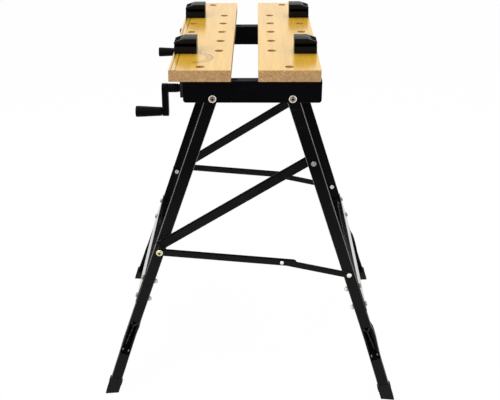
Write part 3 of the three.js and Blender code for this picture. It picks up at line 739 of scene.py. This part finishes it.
hub_line = [(0.0, -156.0), (9.0, -156.0), (9.0, -140.2), (8.5, -139.7), (8.5, -138.3), (9.0, -137.8)]
hub_line += [(9.0, -135.4), (7.9, -134.6), (7.9, -131.6), (7.3, -131.0), (0.0, -131.0)]
pin_line = [(0.0, -219.0), (3.6, -219.0), (3.9, -218.6), (3.9, -167.0), (0.0, -167.0)]
grip_line = [(0.0, -221.7), (5.6, -221.7), (6.2, -222.4), (7.0, -223.0), (9.8, -223.0), (10.8, -222.6)]
grip_line += [(11.3, -221.6), (11.4, -220.0), (11.3, -215.0), (11.0, -209.0), (10.7, -202.0), (10.3, -195.0)]
grip_line += [(9.9, -188.0), (9.5, -181.0), (9.3, -174.0), (9.1, -170.6), (8.6, -169.4), (7.6, -168.9)]
grip_line += [(4.4, -168.9), (4.4, -219.5), (0.0, -219.5)]
for side, sign in sides.items():
    place = Matrix.Translation((0.0, sign * screw_out, screw_up))
    crank, grip = f"crank_{side}", f"grip_{side}"
    shells = [lying(hub_line), crank_arm(), lying(pin_line, arm_drop)]
    gather(f"crank_handle_{side}", shells, place, [crank_paint], crank, [crank], 30.0)
    shells = [lying(grip_line, arm_drop, 64)]
    gather(f"crank_grip_{side}", shells, place, [grip_plastic], grip, [grip])
print("cranks made")

# %% [markdown]
# A bench dog is a moulded comb: a solid front plate, then two finger ribs parted by slots. Its plan is
# one face that is extruded upwards in steps, so that the groove across the front comes from moving one
# step back. Cuts across the top then let the outer shoulder slope down, and a bevel softens it all.

# %% Bench dogs
dog_half, dog_front, dog_back, dog_top = 23.0, -26.0, 15.0, 30.6
slots = ((-19.0, -7.0), (-4.0, 9.0))
slot_end = -11.0
groove_low, groove_high, groove_back = 14.5, 20.7, -21.0
dog_steps = ((14.5, 0.0), (0.6, 5.0), (5.0, 0.0), (0.6, -5.0), (9.9, 0.0))
shoulder_cuts = (-2.5, -7.0, -16.0)
shoulder_start, shoulder_run, shoulder_drop = -2.5, 20.5, 6.5
peg_low = -22.0
# The walls of the slots and the groove are painted near black with no shine: painted shade.
slot_shade = dark_finish(
    "dog_slot_painted_shade", (1, 1, 2), (2, 2, 3), (6, 6, 7),
    rough=(0.5, 0.6), grain_scale=2200, relief=0.1, shine=0.0)


def dog_plan():
    outline = [(dog_half, dog_front), (dog_half, dog_back), (-dog_half, dog_back)]
    for front, back in reversed(slots):
        outline += [(-dog_half, back), (slot_end, back), (slot_end, front), (-dog_half, front)]
    return outline + [(-dog_half, dog_front)]


# Faces inside the slots and the groove take the painted shade finish.
def darken_hollows(shape, inner):
    for face in shape.faces:
        x, y, z = face.calc_center_median() * 1000
        in_slot = inner * x < slot_end + 0.1 and any(front - 0.1 < y < back + 0.1 for front, back in slots)
        in_groove = dog_front + 0.5 < y < groove_back + 0.5 and groove_low - 0.3 < z < groove_high + 0.3
        if (in_slot and abs(face.normal.z) < 0.5) or (in_groove and abs(face.normal.x) < 0.5):
            face.material_index = 1


def dog_shell(inner):
    shape = bmesh.new()
    shape.faces.new([shape.verts.new((inner * x / 1000, y / 1000, 0.0)) for x, y in dog_plan()])
    for level, (rise, set_back) in enumerate(dog_steps):
        top = max(shape.faces, key=lambda face: face.calc_center_median().z)
        points = new_points(bmesh.ops.extrude_face_region(shape, geom=[top]))
        if level > 0:
            bmesh.ops.delete(shape, geom=[top], context="FACES_ONLY")
        bmesh.ops.translate(shape, vec=(0.0, 0.0, rise / 1000), verts=points)
        fronts = [point for point in points if point.co.y * 1000 < groove_back + 0.5]
        bmesh.ops.translate(shape, vec=(0.0, set_back / 1000, 0.0), verts=fronts)
    for cut in shoulder_cuts:
        everything = shape.verts[:] + shape.edges[:] + shape.faces[:]
        bmesh.ops.bisect_plane(shape, geom=everything, dist=0.0000001,
                               plane_co=(inner * cut / 1000, 0, 0), plane_no=(1, 0, 0))
    for point in [point for point in shape.verts if point.co.z * 1000 > dog_top - 0.1]:
        slope = max(0.0, (shoulder_start - inner * point.co.x * 1000) / shoulder_run)
        point.co.z -= shoulder_drop / 1000 * slope ** 1.2
    bmesh.ops.recalc_face_normals(shape, faces=shape.faces[:])
    darken_hollows(shape, inner)
    corners = [edge for edge in shape.edges if edge.calc_face_angle(0.0) > math.radians(28)]
    soften(shape, corners, 0.0008)
    return shape


peg_line = [(0.0, peg_low), (6.8, peg_low), (8.4, peg_low + 2.0), (8.4, 1.0), (0.0, 1.0)]
for end, inner in (("front", 1.0), ("rear", -1.0)):
    for side in sides:
        node = f"dog_{end}_{side}"
        low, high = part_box(node)
        place = Matrix.Translation(((low.x + high.x) / 2, low.y - dog_front / 1000, low.z - peg_low / 1000))
        shells = [dog_shell(inner), turned(peg_line)]
        gather(f"bench_{node}", shells, place, [dog_plastic, slot_shade], node, [node], 30.0)
print("dogs moulded")

# %% [markdown]
# The clamping screws carry a coarse thread. A four-sided ridge is spun round the core many times while
# each step also moves it along, which is how a spin makes a helix.

# %% Clamping screws
screw_lead = 5.2
ridge = [(3.8, -1.35), (4.85, -0.6), (4.85, 0.6), (3.8, 1.35)]
core_line = [(0.0, -130.7), (4.6, -130.7), (4.6, -112.0), (4.0, -111.0), (4.0, -13.0), (3.4, -12.0)]
core_line += [(0.0, -12.0)]


def thread(low, high, per_turn=20):
    shape = bmesh.new()
    corners = [shape.verts.new((radius / 1000, 0.0, (low + height) / 1000)) for radius, height in ridge]
    edges = [shape.edges.new(pair) for pair in zip(corners, corners[1:] + corners[:1])]
    turns = math.floor((high - low) / screw_lead)
    rise = screw_lead / per_turn / 1000
    bmesh.ops.spin(shape, geom=corners + edges, cent=(0, 0, 0), axis=(0, 0, 1), angle=-math.tau * turns,
                   steps=per_turn * turns, dvec=(0.0, 0.0, rise), use_merge=False)
    bmesh.ops.holes_fill(shape, edges=open_edges(shape), sides=0)
    bmesh.ops.recalc_face_normals(shape, faces=shape.faces[:])
    return shape


for side, sign in sides.items():
    shells = [turned(core_line), thread(-109.0, -15.0)]
    place = Matrix.Translation((shift_x / 1000, sign * screw_out, screw_up)) @ along_x
    gather(f"clamping_screw_{side}", shells, place, [screw_steel], f"crank_{side}",
           [f"screw_{side}"])
print("screws threaded")

# %% [markdown]
# A leg is pressed from one strip of sheet steel: a web, two rounded corners and two flanges, bent outwards
# near the foot. It is drawn as a flat grid whose columns go round the section and whose rows go down the
# leg. Rows are close together at the bend, where the web buckles into a pressed crimp: a hollow with a
# crest down its middle that forks at the top. The grid is then bent, thickened and laid along the leg.

# %% Legs with pressed crimps
leg_bend = {"front": math.radians(22.0), "rear": math.radians(17.0)}
web_out = {"front": 0.216, "rear": 0.2389}
crimp_start = {"front": 580, "rear": 570}
# Each swelling of a flange has its side of the leg, its size, its middle down the crimp and its length.
swellings = {"front": ((-1.0, 1.6, 8, 18), (1.0, 0.6, 55, 26)), "rear": ((1.0, 3.4, 24, 40),)}
crimp_scale, crimp_length = 1.105, 92
bend_at, foot_grip = 600, 16
half_web, corner_radius, flange_deep, sheet_thick = 12.5, 1.6, 18.0, 0.0014
flat_half = half_web - corner_radius
crimp_shade_coat, highlight_coat, crest_highlight_coat = 1, 2, 3
# The crimp hollow is painted darker and less shiny than the leg: painted shade in the recess.
crimp_shade_paint = dark_finish(
    "crimp_painted_shade", (2, 2, 3), (4, 4, 6), (16, 16, 18),
    rough=(0.24, 0.36), grain_scale=1400, relief=0.1, shine=0.02)
# The crest down the crimp is painted pale and shiny: a painted highlight.
crest_highlight_paint = dark_finish(
    "crest_painted_highlight", (44, 43, 42), (58, 56, 54), (76, 74, 72),
    rough=(0.4, 0.55), grain_scale=1400, relief=0.1, shine=0.3)
corner = []
for turn in (30, 60, 90):
    angle = math.radians(turn)
    corner.append((flat_half + corner_radius * math.sin(angle), corner_radius * (1 - math.cos(angle))))
corner.append((half_web, flange_deep))
columns = [(-across, deep) for across, deep in reversed(corner)]
columns += [(flat_half * (step / 10 - 1), 0.0) for step in range(21)] + corner
head_rows = [-half_web * math.sin(math.radians(turn)) for turn in range(90, 0, -15)]
straight_rows = [90 * step for step in range(7)]
bend_rows = [550 + 2.5 * step for step in range(47)]


def hump(distance, width):
    return math.exp(-(distance / width) ** 2)


def ramp(value, start, length):
    return min(max((value - start) / length, 0.0), 1.0)


def crest(down, across):
    spine_height = 5.4 * ramp(down, 13, 5) * (1 - ramp(down, 56, 20))
    spine = spine_height * hump(across - 4.0 * ramp(down, 20, 50), 1.6)
    fork = 4.8 * hump(abs(across) - (18 - down) * 0.5, 1.5) if down < 18 else 0.0
    return max(spine, fork)


def knob(down, across):
    return 3.2 * hump(math.hypot(abs(across) - 6.6, down - 80), 2.4)


def pressed(down, across):
    span = ramp(down, 0, 8) * (1 - ramp(down, crimp_length - 5, 5))
    reach = 8.4 + 2.2 * ramp(down, 66, 12)
    hollow = 7.5 * max(0.0, 1 - (abs(across) / reach) ** 2.4)
    return max(0.0, (hollow - crest(down, across)) * span - knob(down, across))


def swollen(down, across, end):
    grown = 0.0
    for way, rise, middle, width in swellings[end]:
        if way * across > 0:
            grown += rise * hump(down - middle, width)
    return across * (1 + grown * ramp(down, -3, 13) / half_web)


def lower_leg(end):
    pivot = leg_axes(end)[0]
    return (pivot.z / math.cos(leg_lean[end]) - bend_at / 1000) / math.cos(leg_bend[end])


# The rounded corners and the knobs get a painted highlight, the hollow a painted shade and the crest a
# painted highlight.
def paint_crimp(shape, dent):
    for face in shape.faces:
        middle = face.calc_center_median() * 1000
        if abs(middle.z) > flat_half and 0.3 < middle.y < 0.7:
            face.material_index = highlight_coat
        down = (middle.x - dent) * crimp_scale
        if 0 < down < crimp_length and abs(middle.z) < (7.4 if down < 74 else 11):
            face.material_index = highlight_coat if knob(down, middle.z) > 1.7 else crimp_shade_coat
            if crest(down, middle.z) > 2.7:
                face.material_index = crest_highlight_coat


def bend_sheet(shape, bend):
    start = bend_at / 1000
    for point in shape.verts:
        beyond, deep = point.co.x - start, point.co.y
        if abs(beyond) < 0.00001:
            point.co.x += deep * math.tan(bend / 2)
        elif beyond > 0:
            point.co.x = start + beyond * math.cos(bend) + deep * math.sin(bend)
            point.co.y = deep * math.cos(bend) - beyond * math.sin(bend)


def leg_sheet(end):
    dent = crimp_start[end]
    foot_row = bend_at + lower_leg(end) * 1000 - foot_grip
    rows = head_rows + straight_rows + bend_rows + [foot_row]
    shape = bmesh.new()
    bmesh.ops.create_grid(shape, x_segments=len(columns) - 1, y_segments=len(rows) - 1, size=1.0)
    for point in shape.verts:
        across, deep = columns[round((point.co.x + 1) / 2 * (len(columns) - 1))]
        along = rows[round((point.co.y + 1) / 2 * (len(rows) - 1))]
        if along < 0:
            across *= math.sqrt(max(0.0, 1 - (along / half_web) ** 2))
        down = (along - dent) * crimp_scale
        point.co = Vector((along, deep + pressed(down, across), swollen(down, across, end))) / 1000
    paint_crimp(shape, dent)
    bend_sheet(shape, leg_bend[end])
    bmesh.ops.remove_doubles(shape, verts=shape.verts[:], dist=0.00001)
    bmesh.ops.recalc_face_normals(shape, faces=shape.faces[:])
    bmesh.ops.solidify(shape, geom=shape.faces[:], thickness=sheet_thick)
    return shape


leg_finishes = [leg_paint, crimp_shade_paint, leg_highlight, crest_highlight_paint]
for end in leg_lean:
    pivot, down_leg, out_of_leg = leg_axes(end)
    for side, sign in sides.items():
        web_middle = pivot + Vector((0.0, sign * web_out[end], 0.0))
        place = laid(web_middle, down_leg, Vector((0.0, -sign, 0.0)), out_of_leg)
        shell = leg_sheet(end)
        bmesh.ops.transform(shell, matrix=place, verts=shell.verts[:])
        bmesh.ops.recalc_face_normals(shell, faces=shell.faces[:])
        node = f"{end}_leg_{side}"
        gather(f"pressed_{node}", [shell], Matrix(), leg_finishes, f"{end}_legs", [node], 50.0)
print("legs pressed")

# %% [markdown]
# The rolled upper edge of the braces and front links also stands a little proud of the bar. It is a thin
# bevelled block, laid along the line between the bar's two ends. For each bar the plan gives those ends,
# how high above the line and how far out from the middle of the bench the block lies, how far after the
# first end it starts and how far past the last end it stops.

# %% Rolled edges of the bars
def bevelled_block(size, soft):
    shape = bmesh.new()
    bmesh.ops.create_cube(shape, size=1.0)
    bmesh.ops.scale(shape, vec=size, verts=shape.verts[:])
    soften(shape, shape.edges[:], soft)
    return shape


roll_wide, roll_thick, roll_soft = 0.0026, 0.0012, 0.0004
rolled_edges = {
    "brace": ("spreader_bolt_near", "brace_rivet_near", 0.0135, 0.2191, 0.03, -0.006),
    "front_link": ("spreader_bolt_near", "knee_rivet_near", 0.0083, 0.2456, 0.012, 0.02),
}
for bar, (first, last, rise, out, skip, past) in rolled_edges.items():
    start, run, upwards = bar_line(first, last)
    length = run.length + past - skip
    run.normalize()
    for side, sign in sides.items():
        middle = start + run * (skip + length / 2) + upwards * rise + Vector((0.0, sign * out, 0.0))
        place = laid(middle, run, upwards, Vector((0.0, sign, 0.0)))
        shell = bevelled_block((length, roll_wide, roll_thick), roll_soft)
        # The block takes its bar's finish, so it is painted dark by the bar's painted shadow band.
        gather(f"{bar}_rolled_edge_{side}", [shell], place, [bar_paint_and_roll_shadow[bar]], f"{bar}_{side}")
print("edges rolled")

# %% [markdown]
# The rubber feet have a thicker collar where the leg goes in. It is a bevelled block in the axes of the
# bent lower leg, which leans outwards from the bend at 600 mm down the leg.

# %% Foot collars
foot_tall, collar_half, collar_deep = 0.034, 0.0058, 0.009
collar_size, collar_soft = (0.0302, 0.0228, 0.0118), 0.0012
for end, bend in leg_bend.items():
    pivot, down_leg, out_of_leg = leg_axes(end)
    for side, sign in sides.items():
        inward = Vector((0.0, -sign, 0.0))
        run = down_leg * math.cos(bend) - inward * math.sin(bend)
        depth = down_leg * math.sin(bend) + inward * math.cos(bend)
        start = pivot + down_leg * (bend_at / 1000) - inward * web_out[end]
        middle = start + run * (lower_leg(end) - foot_tall + collar_half) + depth * collar_deep
        place = laid(middle, out_of_leg, depth, run)
        shell = bevelled_block(collar_size, collar_soft)
        gather(f"{end}_foot_collar_{side}", [shell], place, [foot_rubber], f"{end}_legs")
print("foot collars made")

# %% [markdown]
# A plain pale floor and soft studio light finish the set. The sky looks white to the camera and to
# reflections, but lights the bench at a lower level. The floor glows nearly white to the same rays, and is
# a plain pale surface to all others.

# %% Floor and light
sky_light = 0.55
floor_white = 0.97


def white_to_camera(tree):
    path = tree.nodes.new("ShaderNodeLightPath")
    seen = calc(tree, "MAXIMUM", path.outputs["Is Camera Ray"], path.outputs["Is Glossy Ray"])
    return calc(tree, "MAXIMUM", seen, path.outputs["Is Transmission Ray"])


world = bpy.data.worlds.new("studio")
scene.world = world
world.use_nodes = True
world_tree = world.node_tree
backdrop = world_tree.nodes["Background"]
backdrop.inputs["Color"].default_value = (1.0, 1.0, 1.0, 1.0)
sky = spread(world_tree, white_to_camera(world_tree), 0.0, 1.0, sky_light, 1.0)
world_tree.links.new(sky, backdrop.inputs["Strength"])

floor_mesh = bpy.data.meshes.new("floor")
shape = bmesh.new()
bmesh.ops.create_grid(shape, x_segments=1, y_segments=1, size=6.0)
shape.to_mesh(floor_mesh)
shape.free()
floor = bpy.data.objects.new("floor", floor_mesh)
scene.collection.objects.link(floor)
floor_finish, tree, shader = new_material("pale_floor")[:3]
shader.inputs["Base Color"].default_value = (0.9, 0.9, 0.9, 1.0)
shader.inputs["Roughness"].default_value = 0.9
shader.inputs["Specular IOR Level"].default_value = 0.0
glow = add_node(tree, "ShaderNodeEmission", {"Color": (1.0, 1.0, 1.0, 1.0), "Strength": 1.0})
seen = calc(tree, "MULTIPLY", white_to_camera(tree), floor_white)
blend = add_node(tree, "ShaderNodeMixShader", {0: seen, 1: shader.outputs[0], 2: glow.outputs[0]})
tree.links.new(blend.outputs[0], tree.nodes["Material Output"].inputs["Surface"])
floor_mesh.materials.append(floor_finish)
floor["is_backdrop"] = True


def soft_lamp(name, place, target, size, power):
    data = bpy.data.lights.new(name, "AREA")
    data.shape = "RECTANGLE"
    data.size, data.size_y = size
    data.energy = power
    lamp = bpy.data.objects.new(name, data)
    lamp.location = place
    lamp.rotation_euler = (Vector(target) - Vector(place)).to_track_quat("-Z", "Y").to_euler()
    scene.collection.objects.link(lamp)


soft_lamp("key_lamp", (-1.6, -1.7, 2.6), (0.0, 0.0, 0.5), (1.6, 1.6), 52.0)
soft_lamp("fill_lamp", (2.4, -1.2, 1.4), (0.0, 0.0, 0.4), (1.4, 1.8), 20.0)
soft_lamp("top_lamp", (0.2, 0.9, 2.9), (0.0, 0.0, 0.6), (2.2, 1.6), 34.0)
scene.view_settings.view_transform = "Standard"
print("studio ready")

# %% [markdown]
# The last step prints the dressed bench's box and hands the scene back.

# %% Finish
low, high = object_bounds()
print("dressed box", [round(v, 4) for v in low], [round(v, 4) for v in high])
